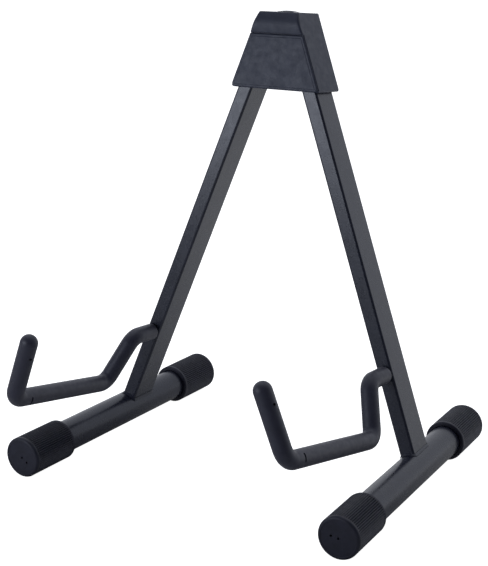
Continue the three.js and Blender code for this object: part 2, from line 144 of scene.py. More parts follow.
# ---------------------------------------------------------------------------
# Flat outlines: lists of (x, y) points, anticlockwise
# ---------------------------------------------------------------------------


def rectangle(width, depth):
    x, y = width / 2, depth / 2
    return [(-x, -y), (x, -y), (x, y), (-x, y)]


def inset(corners, distance):
    """The same convex outline with every side moved inwards."""
    moved = []
    for i, corner in enumerate(corners):
        here = Vector(corner)
        before = (here - Vector(corners[i - 1])).normalized()
        after = (Vector(corners[(i + 1) % len(corners)]) - here).normalized()
        normal = Vector((-before.y, before.x))
        middle = (normal + Vector((-after.y, after.x))).normalized()
        moved.append(here + middle * distance / normal.dot(middle))
    return moved


def rounded(corners, radii, steps=8):
    """The convex outline with each corner turned into an arc."""
    points = []
    for i, corner in enumerate(corners):
        here = Vector(corner)
        before = (Vector(corners[i - 1]) - here).normalized()
        after = (Vector(corners[(i + 1) % len(corners)]) - here).normalized()
        half = before.angle(after) / 2
        centre = here + (before + after).normalized() * radii[i] / math.sin(half)
        start = here + before * radii[i] / math.tan(half) - centre
        first = math.atan2(start.y, start.x)
        for k in range(steps + 1):
            angle = first + (math.pi - 2 * half) * k / steps
            points.append((centre.x + radii[i] * math.cos(angle), centre.y + radii[i] * math.sin(angle)))
    return points


def divided(outline, step):
    """The same closed outline with extra points, so that none of its sides is longer than step."""
    points = []
    for i, corner in enumerate(outline):
        start, end = Vector(corner), Vector(outline[(i + 1) % len(outline)])
        count = math.ceil((end - start).length / step)
        points += [start.lerp(end, k / count) for k in range(count)]
    return points


def arc(centre, radius, start, end, steps):
    """Points of an arc, with its angles in degrees."""
    points = []
    for k in range(steps + 1):
        angle = math.radians(start + (end - start) * k / steps)
        points.append((centre[0] + radius * math.cos(angle), centre[1] + radius * math.sin(angle)))
    return points


# ---------------------------------------------------------------------------
# Closed surfaces
# ---------------------------------------------------------------------------


def skin(rings, loop=False):
    """A closed surface through rings of points. A ring of one point is a pole."""
    shape = bmesh.new()
    rows = [[shape.verts.new(point) for point in ring] for ring in rings]
    following = rows[1:] + (rows[:1] if loop else [])
    for near, far in zip(rows, following):
        count = max(len(near), len(far))
        for i in range(count):
            j = (i + 1) % count
            corners = (near[i % len(near)], near[j % len(near)], far[j % len(far)], far[i % len(far)])
            shape.faces.new(list(dict.fromkeys(corners)))
    if not loop:
        for end in (rows[0], rows[-1]):
            if len(end) > 1:
                shape.faces.new(end)
    bmesh.ops.recalc_face_normals(shape, faces=shape.faces)
    return shape


def turned(profile, sides, relief=None):
    """A profile of (radius, distance along Y) turned round Y. relief gives the radius at an angle."""
    rings = []
    for radius, along in profile:
        if radius == 0:
            rings.append([(0, along, 0)])
            continue
        ring = []
        for k in range(sides):
            angle = 2 * math.pi * k / sides
            r = relief(radius, along, angle) if relief else radius
            ring.append((r * math.cos(angle), along, r * math.sin(angle)))
        rings.append(ring)
    return skin(rings, loop=profile[0][0] > 0)


def prism(outline, start, end):
    """An outline in X and Z, made solid between two places along Y."""
    return skin([[(x, start, z) for x, z in outline], [(x, end, z) for x, z in outline]])


def bar(radius, start, end, x=0, z=0, sides=48):
    return prism([(x + px, z + pz) for px, pz in arc((0, 0), radius, 0, 360, sides)[:-1]], start, end)


def merge(*shapes):
    """Several closed surfaces kept in one mesh."""
    first = shapes[0]
    for other in shapes[1:]:
        mesh = bpy.data.meshes.new("merged")
        other.to_mesh(mesh)
        first.from_mesh(mesh)
        bpy.data.meshes.remove(mesh)
    return first


def as_object(shape, name):
    mesh = bpy.data.meshes.new(name)
    shape.to_mesh(mesh)
    shape.free()
    obj = bpy.data.objects.new(name, mesh)
    bpy.context.scene.collection.objects.link(obj)
    return obj


def settle(obj):
    """Turns the object's modifiers into its mesh."""
    scene_state = bpy.context.evaluated_depsgraph_get()
    mesh = bpy.data.meshes.new_from_object(obj.evaluated_get(scene_state), depsgraph=scene_state)
    obj.modifiers.clear()
    obj.data = mesh


def carve(shape, tools, name):
    """Cuts tools out of a shape and returns the object."""
    obj = as_object(shape, name)
    cutters = [as_object(tool, "cutter") for tool in tools]
    for cutter in cutters:
        cut = obj.modifiers.new("cut", "BOOLEAN")
        cut.operation = "DIFFERENCE"
        cut.solver = "EXACT"
        cut.object = cutter
    settle(obj)
    for cutter in cutters:
        bpy.data.objects.remove(cutter)
    return obj


def fit(obj, place, body, slot, stands_for, smooth=35):
    """Places a finished piece in the model, gives it its finish and body, and hides the CAD node that it
    stands for.
    """
    obj.data.transform(place @ Matrix.Scale(0.001, 4))
    obj.data.shade_smooth()
    obj.data.set_sharp_from_angle(angle=math.radians(smooth))
    corners = obj.modifiers.new("corners", "WEIGHTED_NORMAL")
    corners.keep_sharp = True
    settle(obj)
    obj.data.materials.clear()
    obj.data.materials.append(finishes[slot])
    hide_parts(stands_for)
    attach(obj, body)


# ---------------------------------------------------------------------------
# Finishes
# ---------------------------------------------------------------------------


class Finish:
    """A material on the standard shader, with noise in the object's own space."""

    def __init__(self, slot, colour, roughness, metallic=0.0):
        self.material = bpy.data.materials.new(slot)
        self.material.use_nodes = True
        self.nodes = self.material.node_tree.nodes
        self.links = self.material.node_tree.links
        self.shader = self.nodes["Principled BSDF"]
        self.shader.inputs["Base Color"].default_value = (*colour, 1)
        self.shader.inputs["Roughness"].default_value = roughness
        self.shader.inputs["Metallic"].default_value = metallic
        self.shader.inputs["Specular Tint"].default_value = (0.88, 0.91, 1.0, 1)
        self.place = self.nodes.new("ShaderNodeTexCoord")
        self.relief = None

    def noise(self, size, detail=2.0, stretch=(1, 1, 1)):
        """Noise whose features are about that many millimetres across."""
        stretched = self.nodes.new("ShaderNodeMapping")
        stretched.inputs["Scale"].default_value = stretch
        self.links.new(self.place.outputs["Object"], stretched.inputs["Vector"])
        noise = self.nodes.new("ShaderNodeTexNoise")
        noise.inputs["Scale"].default_value = 1000 / size
        noise.inputs["Detail"].default_value = detail
        self.links.new(stretched.outputs["Vector"], noise.inputs["Vector"])
        return noise.outputs["Fac"]

    def cells(self, size):
        """Pebbled cells of about that many millimetres."""
        cells = self.nodes.new("ShaderNodeTexVoronoi")
        cells.feature = "SMOOTH_F1"
        cells.inputs["Scale"].default_value = 1000 / size
        self.links.new(self.place.outputs["Object"], cells.inputs["Vector"])
        return cells.outputs["Distance"]

    def bump(self, height, depth, strength=1.0):
        """Relief that many millimetres deep, laid over any relief there already."""
        bump = self.nodes.new("ShaderNodeBump")
        bump.inputs["Distance"].default_value = depth / 1000
        bump.inputs["Strength"].default_value = strength
        self.links.new(height, bump.inputs["Height"])
        if self.relief:
            self.links.new(self.relief, bump.inputs["Normal"])
        self.relief = bump.outputs["Normal"]
        self.links.new(self.relief, self.shader.inputs["Normal"])

    def spread(self, source, low, high, socket):
        """Drives a number on the shader between two values."""
        scale = self.nodes.new("ShaderNodeMapRange")
        scale.inputs["From Min"].default_value = 0.3
        scale.inputs["From Max"].default_value = 0.7
        scale.inputs["To Min"].default_value = low
        scale.inputs["To Max"].default_value = high
        self.links.new(source, scale.inputs["Value"])
        self.links.new(scale.outputs["Result"], self.shader.inputs[socket])

    def tint(self, source, dark, light):
        """Lets the colour wander between two colours."""
        ramp = self.nodes.new("ShaderNodeValToRGB")
        ramp.color_ramp.elements[0].position = 0.35
        ramp.color_ramp.elements[0].color = (*dark, 1)
        ramp.color_ramp.elements[1].position = 0.65
        ramp.color_ramp.elements[1].color = (*light, 1)
        self.links.new(source, ramp.inputs["Fac"])
        self.links.new(ramp.outputs["Color"], self.shader.inputs["Base Color"])


def shade(colour, factor):
    return tuple(channel * factor for channel in colour)


def moulded_plastic():
    colour = (0.019, 0.0235, 0.045)
    finish = Finish("moulded_plastic", colour, 0.55)
    finish.tint(finish.noise(14, 3), shade(colour, 0.93), shade(colour, 1.07))
    finish.spread(finish.noise(6, 3), 0.49, 0.61, "Roughness")
    finish.bump(finish.cells(0.7), 0.05, 0.5)
    finish.bump(finish.noise(0.35, 3), 0.03, 0.6)
    finish.shader.inputs["Specular IOR Level"].default_value = 0.64
    return finish.material


def satin_paint():
    colour = (0.015, 0.017, 0.030)
    finish = Finish("satin_paint", colour, 0.28)
    finish.tint(finish.noise(20, 3), shade(colour, 0.9), shade(colour, 1.1))
    finish.spread(finish.noise(8, 2), 0.25, 0.31, "Roughness")
    finish.bump(finish.noise(1.6, 2), 0.02, 0.5)
    finish.bump(finish.noise(0.3, 2), 0.012, 0.6)
    return finish.material


def cap_rubber():
    colour = (0.011, 0.0115, 0.023)
    finish = Finish("cap_rubber", colour, 0.5)
    finish.tint(finish.noise(9, 4), shade(colour, 0.85), shade(colour, 1.2))
    finish.spread(finish.noise(4, 3), 0.44, 0.56, "Roughness")
    finish.bump(finish.noise(0.5, 3), 0.04, 0.6)
    finish.shader.inputs["Specular IOR Level"].default_value = 0.4
    return finish.material


def sleeve_rubber():
    colour = (0.017, 0.0175, 0.034)
    finish = Finish("sleeve_rubber", colour, 0.5)
    finish.tint(finish.noise(12, 3), shade(colour, 0.9), shade(colour, 1.1))
    finish.spread(finish.noise(5, 3), 0.43, 0.57, "Roughness")
    finish.bump(finish.noise(0.6, 3), 0.05, 0.6)
    finish.shader.inputs["Sheen Weight"].default_value = 0.08
    return finish.material


def zinc_steel():
    colour = (0.42, 0.43, 0.45)
    finish = Finish("zinc_steel", colour, 0.32, metallic=1.0)
    finish.tint(finish.noise(5, 3), shade(colour, 0.8), shade(colour, 1.1))
    finish.spread(finish.noise(1.5, 3, stretch=(1, 0.1, 1)), 0.26, 0.42, "Roughness")
    finish.bump(finish.noise(0.4, 2, stretch=(1, 0.1, 1)), 0.01, 0.5)
    return finish.material


def black_steel():
    colour = (0.03, 0.03, 0.033)
    finish = Finish("black_steel", colour, 0.4, metallic=0.8)
    finish.tint(finish.noise(3, 3), shade(colour, 0.8), shade(colour, 1.4))
    finish.spread(finish.noise(1, 3), 0.34, 0.48, "Roughness")
    finish.bump(finish.noise(0.3, 2), 0.01, 0.5)
    return finish.material


def nylon():
    colour = (0.62, 0.61, 0.56)
    finish = Finish("nylon", colour, 0.4)
    finish.tint(finish.noise(4, 2), shade(colour, 0.93), colour)
    finish.spread(finish.noise(2, 2), 0.34, 0.46, "Roughness")
    finish.bump(finish.noise(0.5, 2), 0.02, 0.5)
    finish.shader.inputs["Subsurface Weight"].default_value = 0.1
    finish.shader.inputs["Subsurface Scale"].default_value = 0.001
    return finish.material


# ---------------------------------------------------------------------------
# The head, in its own frame: the origin is midway between the pivots, Y runs
# back along their axes and Z is up in the plane of the legs
# ---------------------------------------------------------------------------


def half_width(height):
    taper = (HEAD_BOTTOM_HALF_WIDTH - HEAD_TOP_HALF_WIDTH) / (HEAD_TOP - HEAD_BOTTOM)
    return HEAD_TOP_HALF_WIDTH + (HEAD_TOP - height) * taper


def shoulder_front(height):
    """How far forward the shoulder is: it swells above the ledge and falls back to the top."""
    t = (height - LEDGE - GAP) / (HEAD_TOP - LEDGE - GAP)
    straight = SHOULDER_FOOT + (SHOULDER_TOP - SHOULDER_FOOT) * t
    swell = SHOULDER_CROWN - (SHOULDER_FOOT + SHOULDER_TOP) / 2
    return straight + swell * math.sin(math.pi * t)


def head_section(height, front, edge, front_corner):
    """The head's outline at a height, with its sides moved in by edge."""
    half = half_width(height)
    corners = inset([(-half, front), (half, front), (half, HEAD_BACK), (-half, HEAD_BACK)], edge)
    radii = [max(corner - edge, 0.2) for corner in (front_corner, front_corner, 2, 2)]
    return [(x, y, height) for x, y in rounded(corners, radii)]


def head_shell():
    rings = []
    for k in range(6):
        angle = math.radians(18 * k)
        height = HEAD_BOTTOM + HEAD_FOOT_EDGE * (1 - math.cos(angle))
        rings.append(head_section(height, HEAD_SEAT, HEAD_FOOT_EDGE * (1 - math.sin(angle)), 0.8))
    low = LEDGE + GAP
    rings.append(head_section(low, HEAD_SEAT, 0, 0.8))
    for k in range(4):
        lift = 0.6 * k / 3
        rounding = 0.6 * (1 - math.sin(math.radians(30 * k)))
        rings.append(head_section(low + lift, shoulder_front(low + lift) + rounding, 0, HEAD_FRONT_CORNER))
    top = HEAD_TOP - HEAD_EDGE
    for k in range(1, 21):
        height = low + 0.6 + (top - low - 0.6) * k / 20
        rings.append(head_section(height, shoulder_front(height), 0, HEAD_FRONT_CORNER))
    for k in range(1, 7):
        angle = math.radians(15 * k)
        height = top + HEAD_EDGE * math.sin(angle)
        edge = HEAD_EDGE * (1 - math.cos(angle))
        rings.append(head_section(height, shoulder_front(height), edge, HEAD_FRONT_CORNER))
    return skin(rings)


def leg_pocket(side, spread):
    """The room one leg needs inside the head, from spread to folded."""
    spacing = pivot_half_spacing()
    reach = LEG_WIDTH / 2 + GAP
    top = LEG_ABOVE_PIVOT + 2 * GAP
    bottom = HEAD_BOTTOM - 1
    corner = math.degrees(math.atan2(top, reach))
    outer_foot = (reach - bottom * math.sin(spread)) / math.cos(spread)
    kink = reach * (1 - math.cos(spread)) / math.sin(spread)
    points = [(-reach, bottom), (outer_foot, bottom), (reach, kink)]
    points += arc((0, 0), math.hypot(reach, top), corner, 180 - corner + math.degrees(spread), 12)
    points.append((-reach, -kink))
    return prism([(side * (x + spacing), z) for x, z in points], -POCKET_HALF_DEPTH, POCKET_HALF_DEPTH)


def hexagon(x, half_flats):
    return [(x + px, pz) for px, pz in arc((0, 0), half_flats / math.cos(math.pi / 6), 0, 300, 5)]


def head_housing(spread):
    core = [(-CORE_HALF_WIDTH, HEAD_BOTTOM - 1), (CORE_HALF_WIDTH, HEAD_BOTTOM - 1),
            (CORE_HALF_WIDTH, CORE_TOP), (-CORE_HALF_WIDTH, CORE_TOP)]
    tools = [prism(core, -POCKET_HALF_DEPTH, POCKET_HALF_DEPTH)]
    for side in SIDES.values():
        x = side * pivot_half_spacing()
        tools.append(leg_pocket(side, spread))
        tools.append(bar(BOLT_RADIUS + GAP, HEAD_SEAT - 1, HEAD_BACK + 1, x))
        tools.append(bar(COUNTERBORE_RADIUS, HEAD_SEAT - 1, COUNTERBORE_FLOOR, x))
        tools.append(prism(hexagon(x, NUT_HALF_FLATS + GAP), NUT_POCKET_FLOOR, HEAD_BACK + 1))
    for height in PEG_HEIGHTS:
        tools.append(bar(PEG_RADIUS + GAP, HEAD_SEAT - 1, -POCKET_HALF_DEPTH + 1, 0, height))
    stem_hole = bar(PLUG_STEM_RADIUS + GAP, -10, 10)
    stem_hole.transform(Matrix.Translation((0, 0, HEAD_TOP)) @ Matrix.Rotation(math.pi / 2, 4, "X"))
    tools.append(stem_hole)
    return carve(head_shell(), tools, "Head_housing")


def cover_ring(along, edge):
    corners = [(-half_width(HEAD_BOTTOM), HEAD_BOTTOM), (half_width(HEAD_BOTTOM), HEAD_BOTTOM),
               (half_width(LEDGE), LEDGE), (-half_width(LEDGE), LEDGE)]
    radii = [max(corner - edge, 0.3) for corner in (4, 4, 1.5, 1.5)]
    return [(x, along, z) for x, z in rounded(inset(corners, edge), radii)]


def front_cover():
    """A shallow tray, hollow behind the plate, with a panel standing a little proud of its rounded border."""
    back = HEAD_SEAT - GAP
    rings = [cover_ring(COVER_FRONT + COVER_PLATE, COVER_RIM), cover_ring(back, COVER_RIM)]
    rings += [cover_ring(back, 0.7), cover_ring(back - 0.5, 0.25)]
    border = COVER_FRONT + COVER_PANEL_RISE
    for k in range(9):
        angle = math.radians(90 * k / 8)
        along = border + COVER_EDGE_DEPTH * (1 - math.sin(angle))
        rings.append(cover_ring(along, 0.25 + COVER_EDGE_WIDTH * (1 - math.cos(angle))))
    for k in range(7):
        rise = 0.5 - 0.5 * math.cos(math.pi * k / 6)
        rings.append(cover_ring(border - COVER_PANEL_RISE * rise, COVER_BORDER + 0.7 * k / 6))
    pegs = [bar(PEG_RADIUS, COVER_FRONT + COVER_PLATE / 2, back + PEG_LENGTH, 0, z) for z in PEG_HEIGHTS]
    return as_object(merge(skin(rings), *pegs), "Head_front_cover")


def top_plug():
    seat = HEAD_TOP + GAP
    dome_radius = (PLUG_RADIUS ** 2 + PLUG_DOME ** 2) / (2 * PLUG_DOME)
    half_angle = math.degrees(math.asin(PLUG_RADIUS / dome_radius))
    dome = arc((0, seat + PLUG_DOME - dome_radius), dome_radius, 90 - half_angle + 3, 90, 12)
    profile = [(0, seat - PLUG_STEM_LENGTH), (PLUG_STEM_RADIUS - 0.6, seat - PLUG_STEM_LENGTH)]
    profile += [(PLUG_STEM_RADIUS, seat - PLUG_STEM_LENGTH + 0.6), (PLUG_STEM_RADIUS, seat)]
    profile += [(PLUG_RADIUS - 0.3, seat), (PLUG_RADIUS - 0.05, seat + 0.25)]
    profile += dome[:-1] + [(0, seat + PLUG_DOME)]
    shape = turned(profile, 72)
    shape.transform(Matrix.Rotation(math.pi / 2, 4, "X"))
    return as_object(shape, "Head_top_plug")


def pivot_bolt(x, name):
    """A low round head in the counterbore, and a thread that ends behind the nut."""
    under = COUNTERBORE_FLOOR - GAP
    front = under - BOLT_HEAD_HEIGHT
    profile = [(0, front), (BOLT_HEAD_RADIUS - 0.5, front), (BOLT_HEAD_RADIUS, front + 0.5)]
    profile += [(BOLT_HEAD_RADIUS, under), (BOLT_RADIUS, under), (BOLT_RADIUS, BOLT_END - THREAD_LENGTH)]
    for turn in range(int(THREAD_LENGTH / THREAD_PITCH) - 1):
        start = BOLT_END - THREAD_LENGTH + turn * THREAD_PITCH
        profile.append((BOLT_RADIUS - THREAD_DEPTH, start + 0.5 * THREAD_PITCH))
        profile.append((BOLT_RADIUS, start + THREAD_PITCH))
    profile += [(BOLT_RADIUS - 0.8, BOLT_END), (0, BOLT_END)]
    shape = turned(profile, 48)
    shape.transform(Matrix.Translation((x, 0, 0)))
    return as_object(shape, name)


def lock_nut(x, name):
    """A hexagon nut with chamfered corners and the round collar of its locking ring."""
    corner = NUT_HALF_FLATS / math.cos(math.pi / 6)
    collar = NUT_HALF_FLATS - 0.8
    bore = BOLT_RADIUS + GAP

    def hexagon_or_less(radius, along, angle):
        off_flat = (angle % (math.pi / 3)) - math.pi / 6
        return min(radius, NUT_HALF_FLATS / math.cos(off_flat))

    profile = [(bore, NUT_START), (NUT_HALF_FLATS - 0.1, NUT_START), (corner, NUT_START + 0.6)]
    profile += [(corner, NUT_END - 1.7), (NUT_HALF_FLATS - 0.1, NUT_END - 1.1), (collar, NUT_END - 1.1)]
    profile += [(collar, NUT_END - 0.4), (collar - 0.4, NUT_END)]
    profile += [(bore + 0.2, NUT_END), (bore, NUT_END - 0.2)]
    shape = turned(profile, 72, hexagon_or_less)
    shape.transform(Matrix.Translation((x, 0, 0)))
    return as_object(shape, name)


# ---------------------------------------------------------------------------
# One leg, in its own frame: Y is the pivot axis and the leg runs down from it
# ---------------------------------------------------------------------------


def on_foot_tube(x, y, radius, leg_length, pitch):
    """The height of the upper surface of a round bar that lies along the foot tube's axis."""
    return -leg_length + (y * math.sin(pitch) + math.sqrt(radius ** 2 - x ** 2)) / math.cos(pitch)


def leg_tube(leg_length, pitch, name):
    outer = rounded(rectangle(LEG_WIDTH, LEG_DEPTH), [LEG_CORNER] * 4)
    hollow = rectangle(LEG_WIDTH - 2 * LEG_WALL, LEG_DEPTH - 2 * LEG_WALL)
    inner = rounded(hollow, [LEG_CORNER - LEG_WALL] * 4)

    def coped(outline):
        reach = FOOT_RADIUS + GAP
        return [(x, y, on_foot_tube(x, y, reach, leg_length, pitch)) for x, y in outline]

    def level(outline):
        return [(x, y, LEG_ABOVE_PIVOT) for x, y in outline]

    shape = skin([coped(outer), level(outer), level(inner), coped(inner)], loop=True)
    pivot_hole = bar(BUSHING_RADIUS + GAP, -LEG_DEPTH, LEG_DEPTH)
    return carve(shape, [pivot_hole], name)


def foot_weld(leg_length, pitch, name):
    """A small fused fillet with faint ripples, round the foot of the leg."""
    room = rectangle(LEG_WIDTH + 2 * GAP, LEG_DEPTH + 2 * GAP)
    path = divided(rounded(room, [LEG_CORNER + GAP] * 4, 12), 0.5)
    rings = []
    travelled = 0.0
    for i, here in enumerate(path):
        before, after = path[i - 1], path[(i + 1) % len(path)]
        along = (after - before).normalized()
        outwards = Vector((along.y, -along.x))
        travelled += (here - before).length
        ripple = 1 + 0.03 * math.sin(2 * math.pi * travelled / BEAD_PITCH)
        ring = [(here.x, here.y, on_foot_tube(here.x, here.y, FOOT_RADIUS + GAP, leg_length, pitch))]
        for k in range(9):
            angle = math.radians(90 * k / 8)
            rise = FOOT_WELD_HEIGHT * ripple * math.sin(angle) ** 2
            x, y = here + outwards * FOOT_WELD_WIDTH * ripple * math.cos(angle) ** 2
            ring.append((x, y, on_foot_tube(x, y, FOOT_RADIUS + GAP, leg_length, pitch) + 0.05 + rise))
        rings.append(ring)
    return as_object(skin(rings, loop=True), name)


class ArmRoute:
    """The arm's centreline in the leg's plane: straight runs joined by round bends."""

    def __init__(self):
        corners = [Vector(corner) for corner in ARM_CORNERS]
        self.spans = []
        here = corners[0]
        for i in range(1, len(corners) - 1):
            incoming = (corners[i] - corners[i - 1]).normalized()
            outgoing = (corners[i + 1] - corners[i]).normalized()
            turn = incoming.angle_signed(outgoing)
            trim = ARM_BEND_RADIUS * math.tan(abs(turn) / 2)
            bend_start = corners[i] - incoming * trim
            self.spans.append((here, incoming, (bend_start - here).length, 0.0))
            self.spans.append((bend_start, incoming, ARM_BEND_RADIUS * abs(turn), turn))
            here = corners[i] + outgoing * trim
        last = (corners[-1] - corners[-2]).normalized()
        self.spans.append((here, last, (corners[-1] - here).length, 0.0))
        self.length = sum(span[2] for span in self.spans)

    def at(self, distance):
        """The point and the direction that far along the route."""
        for start, heading, length, turn in self.spans:
            if distance <= length + 1e-6:
                break
            distance -= length
        if turn == 0:
            return start + heading * distance, heading
        angle = turn * distance / length
        side = Vector((heading.y, -heading.x)) * math.copysign(1, turn)
        bent = abs(angle)
        point = start + (heading * math.sin(bent) + side * (1 - math.cos(bent))) * ARM_BEND_RADIUS
        return point, heading * math.cos(bent) + side * math.sin(bent)

    def places(self, start, end, step=1.5):
        """Distances along the route: close together in the bends, and at their ends."""
        marks = {start, end}
        passed = 0.0
        for _, _, length, turn in self.spans:
            count = max(1, round(length / (step if turn else 12)))
            marks.update(passed + length * k / count for k in range(count + 1))
            passed += length
        return sorted(mark for mark in marks if start <= mark <= end)

    def ring(self, distance, radius, sides=56, beyond=0.0):
        """A circle round the route, or that far beyond it along its direction."""
        point, heading = self.at(distance)
        point = point + heading * beyond
        if radius == 0:
            return [(0, point.x, point.y)]
        ring = []
        for k in range(sides):
            angle = 2 * math.pi * k / sides
            out = radius * math.cos(angle)
            ring.append((radius * math.sin(angle), point.x - heading.y * out, point.y + heading.x * out))
        return ring


def sleeve_marks(route):
    """What is cut from one side of a sleeve: a pinhole near its tip and a slit before the front bend."""
    point, _ = route.at(route.length - PINHOLE_BEFORE_END)
    pinhole = bar(PINHOLE_RADIUS, ROD_RADIUS, SLEEVE_RADIUS + 1, sides=24)
    turn = Matrix.Rotation(math.radians(-90 - PINHOLE_TURN), 4, "Z")
    pinhole.transform(Matrix.Translation((0, *point)) @ turn)
    front_bend = sum(length for _, _, length, _ in route.spans[:-2])
    point, heading = route.at(front_bend - SLIT_BEFORE_BEND)
    outline = rectangle(SLIT_WIDTH, SLIT_LENGTH)
    slit = skin([[(x, y, z) for y, z in outline] for x in (SLEEVE_RADIUS - SLIT_DEPTH, SLEEVE_RADIUS + 1)])
    turn = Matrix.Rotation(math.atan2(heading.y, heading.x), 4, "X")
    slit.transform(Matrix.Translation((0, *point)) @ turn)
    return [pinhole, slit]


def arm_sleeve(name):
    """The soft sleeve: a bored tube along the whole arm that closes in a round tip."""
    route = ArmRoute()
    start = GAP + ARM_WELD + GAP
    bore = ROD_RADIUS + GAP
    rings = [route.ring(route.length, 0)]
    rings += [route.ring(d, bore) for d in reversed(route.places(start, route.length))]
    for k in reversed(range(6)):
        angle = math.radians(18 * k)
        ring_radius = SLEEVE_RADIUS - SLEEVE_MOUTH_ROUND * (1 - math.cos(angle))
        rings.append(route.ring(start + SLEEVE_MOUTH_ROUND * (1 - math.sin(angle)), ring_radius))
    mouth = start + SLEEVE_MOUTH_ROUND + 0.1
    rings += [route.ring(d, SLEEVE_RADIUS) for d in route.places(mouth, route.length)]
    for k in range(1, 12):
        angle = math.radians(90 * k / 12)
        ring_radius = SLEEVE_RADIUS * math.cos(angle)
        rings.append(route.ring(route.length, ring_radius, beyond=SLEEVE_RADIUS * math.sin(angle)))
    rings.append(route.ring(route.length, 0, beyond=SLEEVE_RADIUS))
    return carve(skin(rings), sleeve_marks(route), name)


def arm_weld(name):
    bore = ROD_RADIUS + GAP
    profile = [(bore, 0)]
    profile += [(bore + ARM_WELD * math.cos(math.radians(15 * k)) ** 1.4,
                 -ARM_WELD * math.sin(math.radians(15 * k))) for k in range(6)]
    profile.append((bore, -ARM_WELD))

    def rippled(radius, along, angle):
        return bore + (radius - bore) * (1 + 0.06 * math.sin(12 * angle))

    shape = turned(profile, 96, rippled)
    shape.transform(Matrix.Translation((0, ARM_CORNERS[0][0] - GAP, ARM_CORNERS[0][1])))
    return as_object(shape, name)


# ---------------------------------------------------------------------------
# One foot, in a level frame with Y along the foot tube
# ---------------------------------------------------------------------------


def foot_tube(name):
    start = -FOOT_FORWARD + CAP_END_WALL + GAP
    end = FOOT_BACKWARD - CAP_END_WALL - GAP
    inner = FOOT_RADIUS - FOOT_WALL
    profile = [(inner, start), (FOOT_RADIUS - 0.3, start), (FOOT_RADIUS, start + 0.3)]
    profile += [(FOOT_RADIUS, end - 0.3), (FOOT_RADIUS - 0.3, end), (inner, end)]
    return as_object(turned(profile, 96), name)


def ribbed(radius, along, angle):
    """Fine ribs along the cap's side that fade out before its rim and its mouth."""
    if radius < CAP_RADIUS - 0.01:
        return radius
    fade_in = min(1, max(0, (along - CAP_RIM_ROUND - 1) / 1.5))
    fade_out = min(1, max(0, (CAP_LENGTH - 3 - along) / 1.5))
    crest = (0.5 + 0.5 * math.cos(CAP_RIBS * (angle + math.pi / 2))) ** 0.7
    return radius - CAP_RIB_DEPTH * (1 - crest) * fade_in * fade_out


def foot_cap(vent_angle, name):
    """A moulded cap: closed end at the origin, mouth towards +Y."""
    bore = FOOT_RADIUS + GAP
    disc = CAP_RADIUS - CAP_RIM_ROUND
    profile = [(0, CAP_DISH), (disc - 0.8, CAP_DISH), (disc - 0.5, 0.3), (disc - 0.4, 0.05), (disc - 0.2, 0)]
    profile += arc((disc, CAP_RIM_ROUND), CAP_RIM_ROUND, -90, 0, 8)
    for along in (CAP_RIM_ROUND + 1, CAP_RIM_ROUND + 1.75, CAP_RIM_ROUND + 2.5, 30,
                  CAP_LENGTH - 4.5, CAP_LENGTH - 3.75, CAP_LENGTH - 3):
        profile.append((CAP_RADIUS, along))
    mouth = (CAP_RADIUS - CAP_MOUTH_ROUND, CAP_LENGTH - CAP_MOUTH_ROUND)
    profile += arc(mouth, CAP_MOUTH_ROUND, 0, 90, 5)
    profile += [(bore + 0.5, CAP_LENGTH), (bore, CAP_LENGTH - 0.5), (bore, CAP_END_WALL), (0, CAP_END_WALL)]
    shape = turned(profile, CAP_RIBS * 8, ribbed)
    turn = math.radians(vent_angle)
    second = (VENT_SPACING * math.cos(turn), VENT_SPACING * math.sin(turn))
    vents = [bar(VENT_RADIUS, -1, CAP_END_WALL + 1, x, z, 20) for x, z in ((0, 0), second)]
    return carve(shape, vents, name)


# ---------------------------------------------------------------------------
# Frames of the head, the legs and the feet
# ---------------------------------------------------------------------------


def joint(name):
    return next(j for j in frame["joints"] if j["name"] == name)


def pivot(name):
    return Vector(joint(f"{name}_leg_fold")["pos_m"])


def pivot_half_spacing():
    return 1000 * pivot("right").x


def axes(across, back, up, origin):
    turn = Matrix((across, back, up)).transposed().to_4x4()
    return Matrix.Translation(origin) @ turn


def head_frame():
    back = Vector(joint("right_leg_fold")["axis"]).normalized()
    across = Vector((1, 0, 0))
    return axes(across, back, across.cross(back), (pivot("left") + pivot("right")) / 2)


def leg_frame(name, side):
    spread = math.radians(joint(f"{name}_leg_fold")["range_deg"][1])
    turn = head_frame().to_3x3() @ Matrix.Rotation(-side * spread, 3, "Y")
    return Matrix.Translation(pivot(name)) @ turn.to_4x4()


def foot_frame(leg, leg_length, pitch):
    along = (leg.to_3x3() @ Vector((0, math.cos(pitch), math.sin(pitch)))).normalized()
    up = Vector((0, 0, 1))
    return axes(along.cross(up), along, up, leg @ Vector((0, 0, -leg_length / 1000)))


# ---------------------------------------------------------------------------
# Assembly
# ---------------------------------------------------------------------------


def build_head():
    place = head_frame()
    spread = math.radians(joint("right_leg_fold")["range_deg"][1])
    fit(head_housing(spread), place, "head", "moulded_plastic", "head_housing")
    fit(front_cover(), place, "head", "moulded_plastic", "head_front_cover")
    fit(top_plug(), place, "head", "moulded_plastic", "head_top_plug")
    for name, side in SIDES.items():
        x = side * pivot_half_spacing()
        bolt = pivot_bolt(x, f"{name.title()}_pivot_bolt")
        fit(bolt, place, "head", "black_steel", f"{name}_pivot_bolt")
        nut = lock_nut(x, f"{name.title()}_pivot_lock_nut")
        fit(nut, place, "head", "zinc_steel", f"{name}_pivot_lock_nut", smooth=20)


